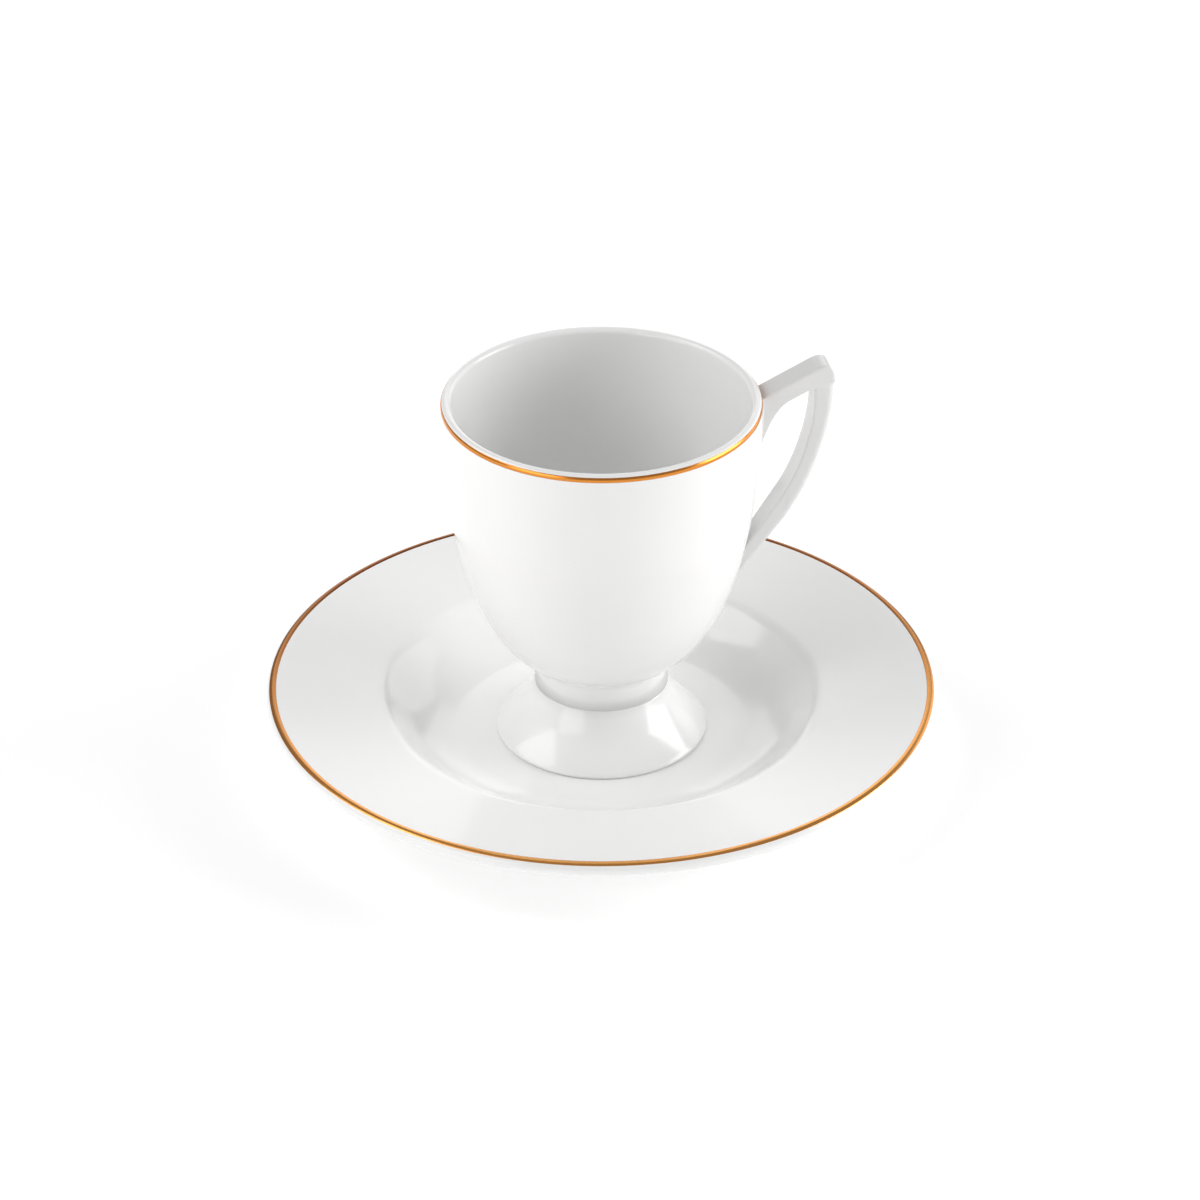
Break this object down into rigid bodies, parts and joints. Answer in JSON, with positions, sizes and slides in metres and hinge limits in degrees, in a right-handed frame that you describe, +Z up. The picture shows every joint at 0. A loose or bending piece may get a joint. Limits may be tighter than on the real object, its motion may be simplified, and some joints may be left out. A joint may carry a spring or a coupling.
{
  "type": "teacup and saucer",
  "caption": "White glazed footed teacup with an angular strut handle, standing on a broad-rimmed saucer; thin gold bands on both rims.",
  "frame": {"origin": "on the table under the saucer, on the axis that cup and saucer share", "axes": "+Z up, +X along the cup's handle, XZ the plane of symmetry"},
  "size_m": [0.1602, 0.1602, 0.0999],
  "materials": {
    "cup_glaze": "glossy clear glaze over white porcelain",
    "foot_glaze": "glossy glaze, ground bare on the standing ring",
    "handle_glaze": "glossy clear glaze over white porcelain",
    "saucer_glaze": "glossy glaze, ground bare on the standing ring",
    "gold_band": "polished fired gold",
    "copper_gold_band": "polished fired gold, darker than the cup's"
  },
  "bodies": {
    "saucer": {"saucer": "saucer_glaze", "saucer_rim_gilding": "copper_gold_band"},
    "cup": {"cup_bowl": "cup_glaze", "cup_foot": "foot_glaze", "cup_handle": "handle_glaze", "cup_rim_gilding": "gold_band"}
  },
  "joints": [
    {"name": "cup_lift", "type": "slide", "parent": "saucer", "child": "cup", "axis": [0, 0, 1], "range_m": [0, 0.05]}
  ]
}
